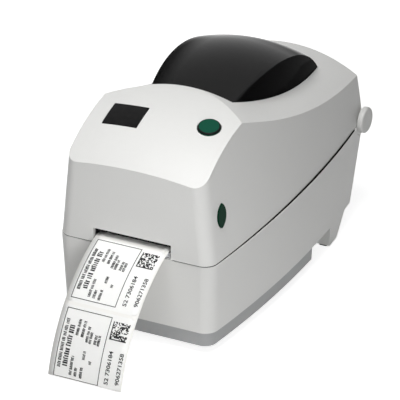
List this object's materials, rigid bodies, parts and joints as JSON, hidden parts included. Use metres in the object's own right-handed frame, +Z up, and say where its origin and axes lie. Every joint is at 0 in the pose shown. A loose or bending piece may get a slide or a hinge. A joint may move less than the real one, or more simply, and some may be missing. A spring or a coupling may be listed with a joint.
{
  "type": "thermal label printer",
  "caption": "Small desktop thermal label printer with a hinged lid, smoked roll window, side latches, feed button and a strip of labels hanging from the front slot.",
  "frame": {"origin": "on the table, below the middle of the casing (the hanging strip left out)", "axes": "+Z up, -Y out of the front where the labels leave, +X to the right for someone facing the front"},
  "size_m": [0.1068, 0.2645, 0.1325],
  "materials": {
    "casing": "fine texture",
    "plinth_grey": "fine texture",
    "smoked_window": "polished smoked plastic",
    "button_green": "satin",
    "latch_green": "satin",
    "badge_black": "gloss",
    "black_plastic": "matt",
    "grey_plastic": "matt",
    "gear_white": "moulded",
    "foot_rubber": "matt",
    "platen_rubber": "ground",
    "plated_steel": "zinc plated",
    "steel": "turned",
    "brass": "turned",
    "motor_black": "painted",
    "head_aluminium": "bare",
    "label_paper": "coated",
    "card": "plain",
    "board_green": "lacquered",
    "ribbon_black": "wax"
  },
  "bodies": {
    "base": {"base_shell": "casing", "plinth": "plinth_grey", "rubber_feet": "foot_rubber", "base_screws": "steel", "mech_frame": "plated_steel", "platen_bush_left": "brass", "platen_bush_right": "brass", "idler_axle": "steel", "stepper_motor": "motor_black", "tear_bar": "steel", "media_sensor": "black_plastic", "label_strip": "label_paper", "roll_guide": "grey_plastic", "main_board": "board_green", "power_inlet": "black_plastic", "usb_socket": "plated_steel", "serial_port": "plated_steel", "switch_body": "black_plastic"},
    "platen": {"platen_roller": "platen_rubber", "platen_shaft": "steel", "platen_gear": "gear_white"},
    "idler": {"idler_gear": "gear_white"},
    "pinion": {"motor_pinion": "brass"},
    "roll": {"label_roll": "label_paper", "roll_core": "card"},
    "holder_left": {"roll_holder_left": "grey_plastic"},
    "holder_right": {"roll_holder_right": "grey_plastic"},
    "rocker": {"power_rocker": "black_plastic"},
    "lid": {"lid_shell": "casing", "window": "smoked_window", "badge_plate": "badge_black", "hinge_pin_left": "casing", "hinge_pin_right": "casing", "tact_switch": "black_plastic", "control_board": "board_green", "latch_spring_left": "steel", "latch_spring_right": "steel", "ribbon_frame": "grey_plastic", "head_pivot": "steel", "head_springs": "steel"},
    "button": {"feed_button": "button_green"},
    "latch_l": {"latch_left": "latch_green"},
    "latch_r": {"latch_right": "latch_green"},
    "head": {"head_bracket": "plated_steel", "print_head": "head_aluminium"},
    "supply": {"supply_spindle": "grey_plastic", "supply_ribbon": "ribbon_black"},
    "takeup": {"takeup_spindle": "grey_plastic", "takeup_ribbon": "ribbon_black"}
  },
  "joints": [
    {"name": "lid_hinge", "type": "hinge", "parent": "base", "child": "lid", "pos_m": [0, 0.0945, 0.0615], "axis": [-1, 0, 0], "range_deg": [0, 90]},
    {"name": "feed_press", "type": "slide", "parent": "lid", "child": "button", "axis": [-0.0977, 0.266, -0.959], "range_m": [0, 0.0015], "stiffness_N_per_m": 400, "springref_m": -0.002},
    {"name": "latch_left_push", "type": "slide", "parent": "lid", "child": "latch_l", "axis": [1, 0, 0], "range_m": [0, 0.003], "stiffness_N_per_m": 400, "springref_m": -0.002, "deforming": ["latch_spring_left"]},
    {"name": "latch_right_push", "type": "slide", "parent": "lid", "child": "latch_r", "axis": [-1, 0, 0], "range_m": [0, 0.003], "stiffness_N_per_m": 400, "springref_m": -0.002, "deforming": ["latch_spring_right"]},
    {"name": "head_lift", "type": "hinge", "parent": "lid", "child": "head", "pos_m": [0, -0.07, 0.074], "axis": [-1, 0, 0], "range_deg": [0, 2], "stiffness_Nm_per_rad": 4, "springref_deg": -3.44, "deforming": ["head_springs"]},
    {"name": "platen_spin", "type": "hinge", "parent": "base", "child": "platen", "pos_m": [0, -0.088, 0.0529], "axis": [1, 0, 0], "continuous": true},
    {"name": "idler_spin", "type": "hinge", "parent": "base", "child": "idler", "pos_m": [0, -0.068, 0.0379], "axis": [1, 0, 0], "continuous": true},
    {"name": "pinion_spin", "type": "hinge", "parent": "base", "child": "pinion", "pos_m": [0, -0.052, 0.0499], "axis": [1, 0, 0], "continuous": true},
    {"name": "roll_spin", "type": "hinge", "parent": "base", "child": "roll", "pos_m": [0, 0.014, 0.073], "axis": [1, 0, 0], "continuous": true},
    {"name": "holder_left_slide", "type": "slide", "parent": "base", "child": "holder_left", "axis": [-1, 0, 0], "range_m": [0, 0.01]},
    {"name": "holder_right_slide", "type": "slide", "parent": "base", "child": "holder_right", "axis": [1, 0, 0], "range_m": [0, 0.01]},
    {"name": "power_rock", "type": "hinge", "parent": "base", "child": "rocker", "pos_m": [-0.024, 0.09393, 0.04347], "axis": [1, 0, 0], "range_deg": [0, 18]},
    {"name": "takeup_spin", "type": "hinge", "parent": "lid", "child": "takeup", "pos_m": [0, -0.084, 0.092], "axis": [1, 0, 0], "continuous": true},
    {"name": "supply_spin", "type": "hinge", "parent": "lid", "child": "supply", "pos_m": [0, -0.055, 0.088], "axis": [1, 0, 0], "continuous": true}
  ],
  "couplings": [
    {"joint": "idler_spin", "follows": "platen_spin", "ratio": -0.78571},
    {"joint": "pinion_spin", "follows": "platen_spin", "ratio": 1.8333},
    {"joint": "roll_spin", "follows": "platen_spin", "ratio": -0.14},
    {"joint": "holder_right_slide", "follows": "holder_left_slide", "ratio": 1},
    {"joint": "takeup_spin", "follows": "supply_spin", "ratio": 2}
  ]
}
